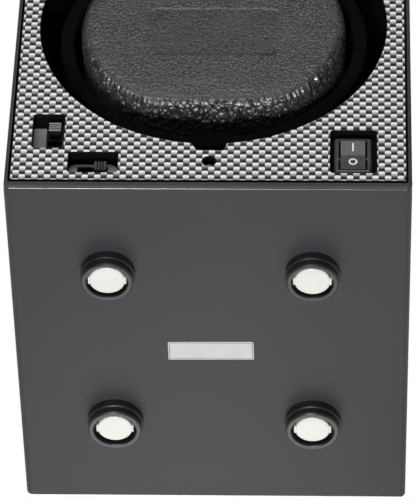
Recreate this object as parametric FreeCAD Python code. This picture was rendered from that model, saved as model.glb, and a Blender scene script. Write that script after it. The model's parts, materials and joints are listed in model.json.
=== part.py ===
"""Single-watch winder box: a moulded case that stands on four round feet, a woven-pattern
front panel with a large round opening, a motor-driven drum that carries a leather watch
cushion, two slide switches, a rocker switch and an indicator lamp.

Frame: millimetres, +Z up, front face towards -Y, origin on the floor under the middle of the
box (the feet stand on z = 0).  "d" below is the distance behind the front face, "zb" the height
above the underside of the case.
"""
import FreeCAD, Part
import math
import os

os.makedirs("parts", exist_ok=True)
V = FreeCAD.Vector

# ------------------------------------------------------------------ driving dimensions (mm)
W, H, D = 125.0, 139.0, 142.6          # case width, height and depth without the feet
FOOT_H = 5.5                           # feet under the case
WALL = 2.4                             # case wall
SHELL_END = D - 4.5                    # the rear cover starts here
CORNER_R = 1.8                         # long edges of the case
FRONT_EDGE_R = 1.0
REAR_EDGE_R = 1.0

MOUTH_W, MOUTH_H = 122.8, 133.8        # front mouth of the case, which takes the panel and the chassis plate
PANEL_D0, PANEL_T = 0.8, 1.5           # woven front panel, set back in the case
PW, PH = 121.7, 130.4
CH_D0, CH_T = 2.3, 3.0                 # chassis plate behind the panel
CH_W, CH_H = 122.2, 133.2
LEDGE_W, LEDGE_T = 1.6, 2.0

OPEN_R = 55.1                          # round opening in the panel
AXIS_ZB = 75.8                         # drum axis above the underside
TUNNEL_R, TUNNEL_T, TUNNEL_END = 56.0, 2.0, 66.0
NOTCH_TOP, NOTCH_L, NOTCH_R, NOTCH_ZB = 5.65, -3.75, 4.4, 17.8   # finger notch under the opening

# windows in the panel: centre x, centre zb, width, height
WIN_TURNS = (-49.95, 25.98, 9.7, 14.8)
WIN_DIR = (-35.58, 12.22, 15.26, 8.85)
WIN_ROCK = (44.6, 17.3, 14.2, 18.7)
LED_X, LED_ZB, LED_HOLE_R = 0.2, 12.8, 2.1
RX, RZ = 44.42, 17.4                   # rocker switch
LEGEND_D, LEGEND_X1 = 4.8, -50.7       # floor of the legend recess, its right edge

# slide switches: centre x, centre zb, knob offset at rest (to the end of its slot)
T_CX, T_CZ, T_REST = -48.15, 26.0, 3.6
D_CX, D_CZ, D_REST = -35.85, 12.4, 2.5
EAR = 8.9
EARS = [(T_CX, T_CZ - EAR), (T_CX, T_CZ + EAR), (D_CX - EAR, D_CZ), (D_CX + EAR, D_CZ)]
FRAME_L, FRAME_W = 14.8, 6.6
EAR_L, EAR_H = 20.2, 4.2                # narrower ears at the frame's ends
KNOB_L, KNOB_H, KNOB_FACE = 3.6, 3.7, 2.5

# drum
CUP_R, CUP_RIM_D = 48.9, 8.7
LIN_IN, LIN_D0 = 44.6, 7.8              # felt lining: inner radius at the mouth, front edge
CUP_FLOOR_D, CUP_BACK_D = 50.0, 53.0
SHAFT_R = 3.0
SHAFT_D0, SHAFT_D1 = 50.6, 91.0

# cushion
CUSH_A, CUSH_B, CUSH_P = 42.6, 36.0, 24    # a disc of this radius, cut flat this far above and below the axis, and how sharp its corners are
CUSH_D0, CUSH_D1 = 0.9, 40.6
CUSH_FILLET = 6.5
COVER_T = 1.6

# gears
MOD, N_DRUM, N_PIN = 1.0, 48, 16
CENTRE = 32.06
MESH_ANGLE = -45.0
GEAR_D0, GEAR_W = 78.6, 6.0

# bulkhead and tie screws
BH_D0, BH_T = 66.0, 3.5
BH_W, BH_H = 116.0, 130.0
TIE = [(sx * 52.0, zb) for sx in (-1, 1) for zb in (9.5, 129.5)]
CH_SCREW_R = 61.0

# feet
FOOT_XS, FOOT_DS = (-31.75, 32.05), (35.9, 104.3)   # places across and behind the front
FOOT_K = (1.0, 1.06)                   # the rear feet are a little wider
FLANGE_R, FLANGE_T = 8.5, 2.9
RING_R, BORE_R, BORE_DEPTH = 8.15, 6.5, 3.2
DISC_R, DISC_SET, EAR_SPAN, EAR_W = 5.6, 0.8, 11.9, 2.8
STUD_R = 2.0

# circuit board
PCB_ZB, PCB_T = 9.5, 1.6
PCB_X, PCB_D = (-40.0, 40.0), (78.0, 126.0)
PCB_POSTS = [(x, d) for x in (-36.0, 36.0) for d in (82.0, 122.0)]

CLR = 0.02                             # plain shank in its hole


# ------------------------------------------------------------------ helpers
def Y(d):
    return d - D / 2.0


def Z(zb):
    return zb + FOOT_H


AX_Z = Z(AXIS_ZB)


def block(x0, x1, d0, d1, z0, z1):
    """Box by x, d and zb limits."""
    return Part.makeBox(x1 - x0, d1 - d0, z1 - z0, V(x0, Y(d0), Z(z0)))


def cyl_y(r, d0, d1, x, zb):
    return Part.makeCylinder(r, d1 - d0, V(x, Y(d0), Z(zb)), V(0, 1, 0))


def cyl_z(r, z0, z1, x, y):
    """Cylinder along Z by absolute heights."""
    return Part.makeCylinder(r, z1 - z0, V(x, y, z0), V(0, 0, 1))


def cyl_x(r, x0, x1, d, zb):
    return Part.makeCylinder(r, x1 - x0, V(x0, Y(d), Z(zb)), V(1, 0, 0))


def poly_y(pts, d0, d1):
    """Prism along Y from (x, zb) points."""
    vs = [V(x, Y(d0), Z(z)) for x, z in pts]
    w = Part.makePolygon(vs + [vs[0]])
    return Part.Face(w).extrude(V(0, d1 - d0, 0))


def rrect_wire(cx, czb, w, h, r, d):
    """Rounded rectangle in the plane d."""
    x0, x1, z0, z1 = cx - w / 2, cx + w / 2, czb - h / 2, czb + h / 2
    y = Y(d)
    z0, z1 = Z(z0), Z(z1)
    k = r * (1 - math.sqrt(0.5))
    e = [
        Part.makeLine(V(x0 + r, y, z0), V(x1 - r, y, z0)),
        Part.Arc(V(x1 - r, y, z0), V(x1 - k, y, z0 + k), V(x1, y, z0 + r)).toShape(),
        Part.makeLine(V(x1, y, z0 + r), V(x1, y, z1 - r)),
        Part.Arc(V(x1, y, z1 - r), V(x1 - k, y, z1 - k), V(x1 - r, y, z1)).toShape(),
        Part.makeLine(V(x1 - r, y, z1), V(x0 + r, y, z1)),
        Part.Arc(V(x0 + r, y, z1), V(x0 + k, y, z1 - k), V(x0, y, z1 - r)).toShape(),
        Part.makeLine(V(x0, y, z1 - r), V(x0, y, z0 + r)),
        Part.Arc(V(x0, y, z0 + r), V(x0 + k, y, z0 + k), V(x0 + r, y, z0)).toShape(),
    ]
    return Part.Wire(e)


def rrect(cx, czb, w, h, r, d0, d1):
    return Part.Face(rrect_wire(cx, czb, w, h, r, d0)).extrude(V(0, d1 - d0, 0))


def turned(profile):
    """Solid of revolution about the drum axis from (r, d) points."""
    vs = [V(r, Y(d), 0) for r, d in profile]
    f = Part.Face(Part.makePolygon(vs + [vs[0]]))
    s = f.revolve(V(0, 0, 0), V(0, 1, 0), 360)
    s = Part.Solid(s) if s.ShapeType != "Solid" else s
    s.translate(V(0, 0, AX_Z))
    return s


def turned_z(profile, x, y):
    """Solid of revolution about a vertical axis from (r, z) points, z absolute."""
    vs = [V(r, 0, z) for r, z in profile]
    f = Part.Face(Part.makePolygon(vs + [vs[0]]))
    s = f.revolve(V(0, 0, 0), V(0, 0, 1), 360)
    s = Part.Solid(s) if s.ShapeType != "Solid" else s
    s.translate(V(x, y, 0))
    return s


def fillet_where(shape, r, test):
    edges = [e for e in shape.Edges if test(e)]
    return shape.makeFillet(r, edges) if edges else shape


def chamfer_where(shape, r, test):
    edges = [e for e in shape.Edges if test(e)]
    return shape.makeChamfer(r, edges) if edges else shape


def at_y(e, d, tol=1e-3):
    bb = e.BoundBox
    return abs(bb.YMin - Y(d)) < tol and abs(bb.YMax - Y(d)) < tol


def out(name, *shapes):
    sh = shapes[0] if len(shapes) == 1 else Part.makeCompound(list(shapes))
    n = len(sh.Solids)
    if n == 0 or not sh.isValid():
        print("BAD", name, n, sh.isValid())
    for s in sh.Solids:
        if s.Volume <= 0:
            print("NEGATIVE", name, s.Volume)
    sh.exportStep("parts/%s.step" % name)
    MADE[name] = sh


MADE = {}

CX0, CZ0 = 0.0, H / 2.0                # centre of the case section

# ------------------------------------------------------------------ case shell
shell = rrect(CX0, CZ0, W, H, CORNER_R, 0, SHELL_END)
shell = fillet_where(shell, FRONT_EDGE_R, lambda e: at_y(e, 0))
shell = chamfer_where(shell, 0.12, lambda e: at_y(e, SHELL_END))
shell = shell.cut(rrect(CX0, CZ0, MOUTH_W, MOUTH_H, 0.8, -1, CH_D0 + CH_T))
shell = shell.cut(rrect(CX0, CZ0, W - 2 * WALL, H - 2 * WALL, 0.8, CH_D0 + CH_T - 0.5, SHELL_END + 1))
ledge = rrect(CX0, CZ0, W - 2 * WALL + 0.4, H - 2 * WALL + 0.4, 0.8, CH_D0 + CH_T, CH_D0 + CH_T + LEDGE_T)
ledge = ledge.cut(rrect(CX0, CZ0, W - 2 * WALL - 2 * LEDGE_W, H - 2 * WALL - 2 * LEDGE_W, 0.8, 0, 20))
shell = shell.fuse(ledge)
for px, pd in PCB_POSTS:
    post = cyl_z(3.0, Z(WALL - 0.3), Z(PCB_ZB), px, Y(pd))
    shell = shell.fuse(post)
for px, pd in PCB_POSTS:
    shell = shell.cut(cyl_z(1.25 + CLR, Z(3.4), Z(PCB_ZB + 1), px, Y(pd)))
for fx in FOOT_XS:
    for fd in FOOT_DS:
        shell = shell.cut(cyl_z(STUD_R + CLR, Z(-1), Z(WALL + 1), fx, Y(fd)))
shell = shell.removeSplitter()
out("case_shell", shell)

# ------------------------------------------------------------------ front panel (woven pattern sheet)
panel = rrect(CX0, CZ0, PW, PH, 0.8, PANEL_D0, PANEL_D0 + PANEL_T)
hole = cyl_y(OPEN_R, -1, 10, 0, AXIS_ZB)
notch = poly_y([(-NOTCH_TOP - 0.3, 23.0), (-NOTCH_TOP, 21.4), (NOTCH_L, NOTCH_ZB),
                (NOTCH_R, NOTCH_ZB), (NOTCH_TOP, 21.4), (NOTCH_TOP + 0.3, 23.0)], -1, 10)
panel = panel.cut(hole.fuse(notch).removeSplitter())
for cx, cz, w, h in (WIN_TURNS, WIN_DIR, WIN_ROCK):
    panel = panel.cut(rrect(cx, cz, w, h, 0.9, -1, 10))
panel = panel.cut(cyl_y(LED_HOLE_R, -1, 10, LED_X, LED_ZB))
panel = chamfer_where(panel, 0.25, lambda e: at_y(e, PANEL_D0))
out("front_panel", panel)

# ------------------------------------------------------------------ chassis: plate, drum tunnel, switch seats
ch = rrect(CX0, CZ0, CH_W, CH_H, 0.8, CH_D0, CH_D0 + CH_T)
ch = ch.fuse(cyl_y(TUNNEL_R + TUNNEL_T, CH_D0, TUNNEL_END, 0, AXIS_ZB))
ch = ch.fuse(block(-7.2, 7.2, CH_D0, 21.5, 16.3, 23.0))                      # finger trough
for a in (45, 135, 225, 315):
    bx, bz = CH_SCREW_R * math.cos(math.radians(a)), CH_SCREW_R * math.sin(math.radians(a))
    ch = ch.fuse(cyl_y(3.6, 50.0, TUNNEL_END, bx, AXIS_ZB + bz))
ch = ch.cut(cyl_y(TUNNEL_R, -1, TUNNEL_END + 1, 0, AXIS_ZB))
ch = ch.cut(poly_y([(-NOTCH_TOP - 0.3, 26.0), (-NOTCH_TOP - 0.3, 21.4), (NOTCH_L - 0.4, NOTCH_ZB - 0.4),
                    (NOTCH_R + 0.4, NOTCH_ZB - 0.4), (NOTCH_TOP + 0.3, 21.4), (NOTCH_TOP + 0.3, 26.0)], 0, 20.0))
for a in (45, 135, 225, 315):
    bx, bz = CH_SCREW_R * math.cos(math.radians(a)), CH_SCREW_R * math.sin(math.radians(a))
    ch = ch.cut(cyl_y(1.5 + CLR, 54.0, TUNNEL_END + 1, bx, AXIS_ZB + bz))
ch = ch.cut(rrect(WIN_DIR[0], WIN_DIR[1], WIN_DIR[2] + 0.1, WIN_DIR[3] + 0.1, 0.9, 0, 10))
ch = ch.cut(rrect(WIN_TURNS[0], WIN_TURNS[1], WIN_TURNS[2] + 0.1, WIN_TURNS[3] + 0.1, 0.9, 0, LEGEND_D))
ch = ch.cut(block(LEGEND_X1 + 0.1, WIN_TURNS[0] + WIN_TURNS[2] / 2, 0, 10,
                  WIN_TURNS[1] - WIN_TURNS[3] / 2 + 0.4, WIN_TURNS[1] + WIN_TURNS[3] / 2 - 0.4))
ch = ch.cut(rrect(WIN_ROCK[0], WIN_ROCK[1], WIN_ROCK[2] + 0.4, WIN_ROCK[3] + 0.4, 0.9, 0, 4.0))
ch = ch.cut(block(RX - 5.4, RX + 5.4, 0, 10, RZ - 7.2, RZ + 7.2))
ch = ch.cut(cyl_y(1.55, 0, 10, LED_X, LED_ZB))
for u, v in EARS:                                                            # pilot holes for the slide switch ears
    ch = ch.cut(cyl_y(0.8 + CLR, CH_D0 + CH_T - 1.8, CH_D0 + CH_T + 1, u, v))
ch = ch.removeSplitter()
out("chassis", ch)

# ------------------------------------------------------------------ bulkhead with bearing boss
bh = rrect(CX0, CZ0, BH_W, BH_H, 4.0, BH_D0, BH_D0 + BH_T)
bh = bh.fuse(cyl_y(9.0, 62.0, 76.0, 0, AXIS_ZB))
for a in range(0, 360, 60):                                                  # stiffening ribs behind
    rib = block(8.0, 52.0, BH_D0 + BH_T - 0.2, BH_D0 + BH_T + 3.0, AXIS_ZB - 0.9, AXIS_ZB + 0.9)
    rib.rotate(V(0, 0, AX_Z), V(0, 1, 0), a)
    bh = bh.fuse(rib)
for tx, tz in TIE:
    bh = bh.fuse(cyl_y(4.4, BH_D0, 80.0, tx, tz))
MX = CENTRE * math.cos(math.radians(MESH_ANGLE))
MZ = AXIS_ZB + CENTRE * math.sin(math.radians(MESH_ANGLE))
STANDOFF = [(MX + 16.0 * math.cos(math.radians(MESH_ANGLE + da)), MZ + 16.0 * math.sin(math.radians(MESH_ANGLE + da)))
            for da in (0, 75, -75)]
bh = bh.cut(cyl_y(4.5, 61, 77, 0, AXIS_ZB))
for tx, tz in TIE:
    bh = bh.cut(cyl_y(1.5 + CLR, BH_D0 + 1.0, 81.0, tx, tz))
for a in (45, 135, 225, 315):
    bx, bz = CH_SCREW_R * math.cos(math.radians(a)), CH_SCREW_R * math.sin(math.radians(a))
    bh = bh.cut(cyl_y(1.5 + CLR, BH_D0 - 1, BH_D0 + 10, bx, AXIS_ZB + bz))
    bh = bh.cut(cyl_y(3.2, BH_D0 + BH_T, BH_D0 + 10, bx, AXIS_ZB + bz))
for sx, sz in STANDOFF:                                                      # clear seats for the motor posts
    bh = bh.cut(cyl_y(3.3, BH_D0 + BH_T, BH_D0 + 10, sx, sz))
    bh = bh.cut(cyl_y(1.25 + CLR, BH_D0 - 1, BH_D0 + 10, sx, sz))
bh = bh.cut(block(-14, 14, BH_D0 - 1, BH_D0 + 10, 4.0, 11.0))                # wire pass-through
bh = bh.removeSplitter()
out("bulkhead", bh)

# ------------------------------------------------------------------ rear cover
JX, JZ = 38.0, 20.0                                                          # DC inlet position
rc = rrect(CX0, CZ0, W, H, CORNER_R, SHELL_END, D)
rc = fillet_where(rc, REAR_EDGE_R, lambda e: at_y(e, D))
rc = chamfer_where(rc, 0.12, lambda e: at_y(e, SHELL_END))
rc = rc.cut(rrect(CX0, CZ0, W - 9.4, H - 9.4, 3.0, SHELL_END - 1, D - 2.4))
lip = rrect(CX0, CZ0, W - 2 * WALL - 0.4, H - 2 * WALL - 0.4, 0.8, SHELL_END - 3.5, SHELL_END + 0.6)
lip = lip.cut(rrect(CX0, CZ0, W - 9.4, H - 9.4, 3.0, 130, D))
rc = rc.fuse(lip)
for tx, tz in TIE:
    rc = rc.fuse(cyl_y(4.4, D - 7.0, D - 1.5, tx, tz))
for tx, tz in TIE:
    rc = rc.cut(cyl_y(1.6, 130, D + 4, tx, tz))
    rc = rc.cut(cyl_y(3.1, D - 2.0, D + 4, tx, tz))
rc = rc.cut(cyl_y(4.05, 130, D + 4, JX, JZ))
rc = rc.cut(cyl_y(5.75, D - 1.0, D + 4, JX, JZ))
rc = rc.removeSplitter()
out("rear_cover", rc)


def cross_recess(r, d, depth, x, zb, back=True):
    """Cross recess cut from a screw head whose face is at d."""
    a, b = (d - depth, d + 1) if back else (d - 1, d + depth)
    s = block(x - r, x + r, a, b, zb - r * 0.22, zb + r * 0.22)
    return s.fuse(block(x - r * 0.22, x + r * 0.22, a, b, zb - r, zb + r))


ties = []
for tx, tz in TIE:
    s = cyl_y(2.8, D - 2.0, D - 0.2, tx, tz)
    s = fillet_where(s, 0.5, lambda e: at_y(e, D - 0.2))
    s = s.fuse(cyl_y(1.5, 68.5, D - 1.8, tx, tz)).removeSplitter()
    ties.append(s.cut(cross_recess(1.7, D - 0.2, 1.0, tx, tz)))
out("tie_screws", *ties)

chs = []
for a in (45, 135, 225, 315):
    bx, bz = CH_SCREW_R * math.cos(math.radians(a)), AXIS_ZB + CH_SCREW_R * math.sin(math.radians(a))
    s = cyl_y(2.8, BH_D0 + BH_T, BH_D0 + BH_T + 2.0, bx, bz)
    s = s.fuse(cyl_y(1.5, 56.0, BH_D0 + BH_T + 0.2, bx, bz)).removeSplitter()
    chs.append(s.cut(cross_recess(1.7, BH_D0 + BH_T + 2.0, 1.0, bx, bz)))
out("chassis_screws", *chs)

# ------------------------------------------------------------------ feet, inserts, nuts, label
rings, discs, nuts = [], [], []
for fx in FOOT_XS:
    for fd, fk in zip(FOOT_DS, FOOT_K):
        x, y = fx, Y(fd)
        zs = FOOT_H - FLANGE_T
        fr, rr, br = FLANGE_R * fk, RING_R * fk, BORE_R * fk
        prof = [(STUD_R + CLR, FOOT_H), (fr, FOOT_H), (fr, zs + 0.3), (fr - 0.3, zs),
                (rr, zs), (rr, 0.45), (rr - 0.45, 0.0), (br + 0.25, 0.0), (br, 0.25),
                (br, BORE_DEPTH), (STUD_R + CLR, BORE_DEPTH)]
        rings.append(turned_z(prof, x, y))
        zt = DISC_SET
        disc = turned_z([(0, zt), (DISC_R - 0.35, zt), (DISC_R, zt + 0.25), (DISC_R, BORE_DEPTH), (0, BORE_DEPTH)], x, y)
        ear = Part.makeBox(EAR_SPAN, EAR_W, 0.9, V(x - EAR_SPAN / 2, y - EAR_W / 2, zt + 0.12))
        disc = disc.fuse(ear)
        disc = disc.fuse(cyl_z(STUD_R, BORE_DEPTH - 0.1, Z(WALL + 4.0), x, y)).removeSplitter()
        discs.append(disc)
        hexa = []
        for k in range(6):
            t = math.radians(60 * k)
            hexa.append(V(x + 4.04 * math.cos(t), y + 4.04 * math.sin(t), Z(WALL)))
        nut = Part.Face(Part.makePolygon(hexa + [hexa[0]])).extrude(V(0, 0, 3.0))
        nuts.append(nut.cut(cyl_z(STUD_R + CLR, Z(WALL) - 1, Z(WALL) + 5, x, y)))
out("foot_rings", *rings)
out("foot_inserts", *discs)
out("foot_nuts", *nuts)
LX, LD, LW, LH = -0.25, 72.1, 27.2, 8.1
label = Part.makeBox(LW, LH, 0.2, V(LX - LW / 2, Y(LD - LH / 2), FOOT_H - 0.2))
label = label.makeFillet(0.6, [e for e in label.Edges if abs(e.BoundBox.ZLength - 0.2) < 1e-6])
label.rotate(V(LX, Y(LD), FOOT_H), V(0, 0, 1), -0.4)
out("blank_label", label)

# ------------------------------------------------------------------ drum
cup = turned([(0, CUP_FLOOR_D), (43.5, CUP_FLOOR_D), (45.6, 47.0), (46.6, CUP_RIM_D), (CUP_R, CUP_RIM_D),
              (47.6, 49.0), (44.0, CUP_BACK_D), (0, CUP_BACK_D)])
cup = cup.fuse(cyl_y(9.0, CUP_BACK_D - 0.2, 60.0, 0, AXIS_ZB))
for a in range(0, 360, 60):
    rib = block(8.5, 42.0, CUP_BACK_D - 0.2, 56.0, AXIS_ZB - 1.0, AXIS_ZB + 1.0)
    rib.rotate(V(0, 0, AX_Z), V(0, 1, 0), a + 30)
    cup = cup.fuse(rib)
cup = cup.cut(cyl_y(SHAFT_R, 40, 70, 0, AXIS_ZB)).removeSplitter()
out("drum_cup", cup)

r45 = 46.6 - (45.0 - CUP_RIM_D) / (47.0 - CUP_RIM_D) * 1.0
liner = turned([(LIN_IN + 0.6, LIN_D0), (CUP_R - 0.9, LIN_D0), (CUP_R, LIN_D0 + 0.4), (CUP_R, CUP_RIM_D), (46.6, CUP_RIM_D),
                (r45, 45.0), (LIN_IN - 0.8, 45.0), (LIN_IN, LIN_D0 + 0.6)])
out("drum_liner", liner)

seat = turned([(SHAFT_R + 1.0, 41.0), (24.0, 41.0), (25.0, 42.0), (25.0, CUP_FLOOR_D), (SHAFT_R + 1.0, CUP_FLOOR_D)])
out("cushion_seat", seat)

shaft = cyl_y(SHAFT_R, SHAFT_D0, SHAFT_D1, 0, AXIS_ZB)
shaft = chamfer_where(shaft, 0.4, lambda e: at_y(e, SHAFT_D1))
out("drum_shaft", shaft)


def ring_y(r0, r1, d0, d1):
    return cyl_y(r1, d0, d1, 0, AXIS_ZB).cut(cyl_y(r0, d0 - 1, d1 + 1, 0, AXIS_ZB))


out("thrust_washers", ring_y(SHAFT_R + CLR, 6.5, 60.0, 60.65), ring_y(SHAFT_R + CLR, 6.5, 77.35, GEAR_D0))
bush_f = cyl_y(4.5, 62.0, 68.0, 0, AXIS_ZB).fuse(cyl_y(6.5, 61.0, 62.0, 0, AXIS_ZB))
bush_r = cyl_y(4.5, 70.0, 76.0, 0, AXIS_ZB).fuse(cyl_y(6.5, 76.0, 77.0, 0, AXIS_ZB))
bush_f = bush_f.cut(cyl_y(SHAFT_R + 0.04, 50, 90, 0, AXIS_ZB)).removeSplitter()
bush_r = bush_r.cut(cyl_y(SHAFT_R + 0.04, 50, 90, 0, AXIS_ZB)).removeSplitter()
out("shaft_bushes", bush_f, bush_r)


def gear(n, m, phase_deg, d0, d1, x, zb, thin, pts=4):
    """Spur gear with involute flanks; phase_deg is the direction of a tooth centre in the XZ plane."""
    r = n * m / 2.0
    rb = r * math.cos(math.radians(20))
    ra, rf = r + m * 0.97, r - 1.25 * m
    inv = lambda q: math.tan(q) - q
    a0 = math.radians(20)
    half = math.pi / (2 * n) - thin / (2 * r)
    r_lo = max(rb, rf)
    flank = []
    for i in range(pts):
        rho = r_lo + (ra - r_lo) * i / (pts - 1)
        al = math.acos(min(1.0, rb / rho))
        flank.append((rho, half + inv(a0) - inv(al)))
    outline = []
    for k in range(n):
        c = math.radians(phase_deg) + 2 * math.pi * k / n
        outline.append((rf, c - flank[0][1]))
        if r_lo > rf + 1e-6:
            outline += [(rho, c - h) for rho, h in flank]
            outline += [(rho, c + h) for rho, h in reversed(flank)]
        else:
            outline += [(rho, c - h) for rho, h in flank[1:]]
            outline += [(rho, c + h) for rho, h in reversed(flank[1:])]
        outline.append((rf, c + flank[0][1]))
    p = [(x + rho * math.cos(t), zb + rho * math.sin(t)) for rho, t in outline]
    return poly_y(p, d0, d1)


dg = gear(N_DRUM, MOD, MESH_ANGLE, GEAR_D0, GEAR_D0 + GEAR_W, 0, AXIS_ZB, 0.14, 3)
dg = dg.fuse(cyl_y(7.0, GEAR_D0, 89.4, 0, AXIS_ZB))
for k in range(5):
    t = math.radians(72 * k + 20)
    dg = dg.cut(cyl_y(4.2, 70, 88, 14.2 * math.cos(t), AXIS_ZB + 14.2 * math.sin(t)))
dg = dg.cut(cyl_y(SHAFT_R, 70, 95, 0, AXIS_ZB))
dg = dg.cut(Part.makeCylinder(1.0 + CLR, 12, V(0, Y(87.2), AX_Z), V(0, 0, 1))).removeSplitter()
out("drum_gear", dg)
grub = Part.makeCylinder(1.0, 3.6, V(0, Y(87.2), AX_Z + SHAFT_R + 0.05), V(0, 0, 1))
out("gear_grub_screw", grub)
clip = ring_y(SHAFT_R, 5.2, 89.6, 90.4).cut(block(-1.0, 1.0, 80, 95, AXIS_ZB - 8, AXIS_ZB - 1))
out("shaft_clip", clip)

# ------------------------------------------------------------------ cushion: cover, foam, back plate


def pillow(a, b, d0, d1, r_front, r_back):
    """Cushion form: a disc with two flat sides, extruded along the axis, its edges rounded."""
    pts = []
    for i in range(72):
        c, q = math.cos(math.pi * i / 36), math.sin(math.pi * i / 36)
        r = (a ** -CUSH_P + (abs(q) / b) ** CUSH_P) ** (-1.0 / CUSH_P)
        pts.append(V(r * c, Y(d0), AX_Z + r * q))
    curve = Part.BSplineCurve()
    curve.interpolate(Points=pts, PeriodicFlag=True)
    w = Part.Wire([curve.toShape()])
    s = Part.Face(w).extrude(V(0, d1 - d0, 0))
    if r_front:
        s = fillet_where(s, r_front, lambda e: at_y(e, d0))
    if r_back:
        s = fillet_where(s, r_back, lambda e: at_y(e, d1))
    return s


cover = pillow(CUSH_A, CUSH_B, CUSH_D0, CUSH_D1, CUSH_FILLET, 3.0)
pocket = pillow(CUSH_A - COVER_T, CUSH_B - COVER_T, CUSH_D0 + COVER_T, CUSH_D1 - 2.2, CUSH_FILLET - COVER_T, 0)
mouth = pillow(CUSH_A - 6.0, CUSH_B - 6.0, CUSH_D1 - 2.4, CUSH_D1 + 1.0, 0, 0)
cover = cover.cut(pocket).cut(mouth)
out("cushion_cover", cover)
out("cushion_foam", pocket)
out("cushion_back_plate", pillow(CUSH_A - 6.0, CUSH_B - 6.0, CUSH_D1 - 2.2, CUSH_D1, 0, 0))

# ------------------------------------------------------------------ motor, bracket, pinion
BR_D0 = 93.0
posts, pscrews = [], []
for sx, sz in STANDOFF:
    post = cyl_y(3.2, BH_D0 + BH_T, BR_D0, sx, sz).cut(cyl_y(1.25 + CLR, BH_D0, 100, sx, sz))
    posts.append(post)
    front = cyl_y(2.4, 64.2, 66.0, sx, sz).fuse(cyl_y(1.25, 65.9, 76.0, sx, sz)).removeSplitter()
    back = cyl_y(2.4, BR_D0 + 2.0, BR_D0 + 3.8, sx, sz).fuse(cyl_y(1.25, 83.0, BR_D0 + 2.1, sx, sz)).removeSplitter()
    pscrews += [front.cut(cross_recess(1.5, 64.2, 0.8, sx, sz, back=False)), back.cut(cross_recess(1.5, BR_D0 + 3.8, 0.8, sx, sz))]
out("motor_posts", *posts)
out("motor_post_screws", *pscrews)
MS = [(MX + 8.6 * math.cos(math.radians(MESH_ANGLE + q)), MZ + 8.6 * math.sin(math.radians(MESH_ANGLE + q))) for q in (37.5, 217.5)]
br = cyl_y(20.5, BR_D0, BR_D0 + 2.0, MX, MZ)
br = br.cut(cyl_y(3.2, BR_D0 - 1, BR_D0 + 5, MX, MZ))
for sx, sz in STANDOFF + MS:
    br = br.cut(cyl_y(1.25 + CLR, BR_D0 - 1, BR_D0 + 5, sx, sz))
out("motor_bracket", br)
gb = cyl_y(12.5, BR_D0 + 2.0, 113.0, MX, MZ)
gb = gb.fuse(cyl_y(3.15, BR_D0 + 0.2, BR_D0 + 2.1, MX, MZ))
gb = gb.cut(cyl_y(2.04, 90, 102, MX, MZ))
for sx, sz in MS:
    gb = gb.cut(cyl_y(1.25 + CLR, 90, 101, sx, sz))
for sx, sz in STANDOFF:
    gb = gb.cut(cyl_y(2.7, BR_D0 + 1.9, BR_D0 + 4.1, sx, sz))
gb = gb.removeSplitter()
out("motor_gearbox", gb)
can = cyl_y(12.0, 113.0, 129.5, MX, MZ)
can = fillet_where(can, 1.2, lambda e: at_y(e, 129.5))
can = can.cut(cyl_y(9.0, 128.0, 131, MX, MZ))
out("motor_can", can)
cap = cyl_y(9.0, 128.0, 130.6, MX, MZ)
cap = cap.fuse(cyl_y(3.0, 130.5, 131.6, MX, MZ)).removeSplitter()
out("motor_end_cap", cap)
out("motor_terminals", block(MX - 6.4, MX - 5.9, 130.6, 134.4, MZ - 1.2, MZ + 1.2), block(MX + 5.9, MX + 6.4, 130.6, 134.4, MZ - 1.2, MZ + 1.2))
msc = []
for sx, sz in MS:
    s = cyl_y(2.2, BR_D0 - 1.5, BR_D0, sx, sz).fuse(cyl_y(1.25, BR_D0 - 0.1, 100.0, sx, sz)).removeSplitter()
    msc.append(s.cut(cross_recess(1.4, BR_D0 - 1.5, 0.8, sx, sz, back=False)))
out("motor_screws", *msc)
out("motor_shaft", cyl_y(2.0, 77.6, 101.0, MX, MZ))
# a pinion gap faces the drum gear's tooth
pg = gear(N_PIN, MOD, MESH_ANGLE + 180.0 + 180.0 / N_PIN, GEAR_D0 - 0.4, GEAR_D0 + GEAR_W + 0.4, MX, MZ, 0.14, 4)
pg = pg.fuse(cyl_y(4.6, GEAR_D0 + GEAR_W + 0.3, 89.5, MX, MZ))
pg = pg.cut(cyl_y(2.0, 70, 100, MX, MZ)).removeSplitter()
out("motor_pinion", pg)

# ------------------------------------------------------------------ slide switches
FR_D0, FR_T = CH_D0 + CH_T, 0.6


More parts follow.
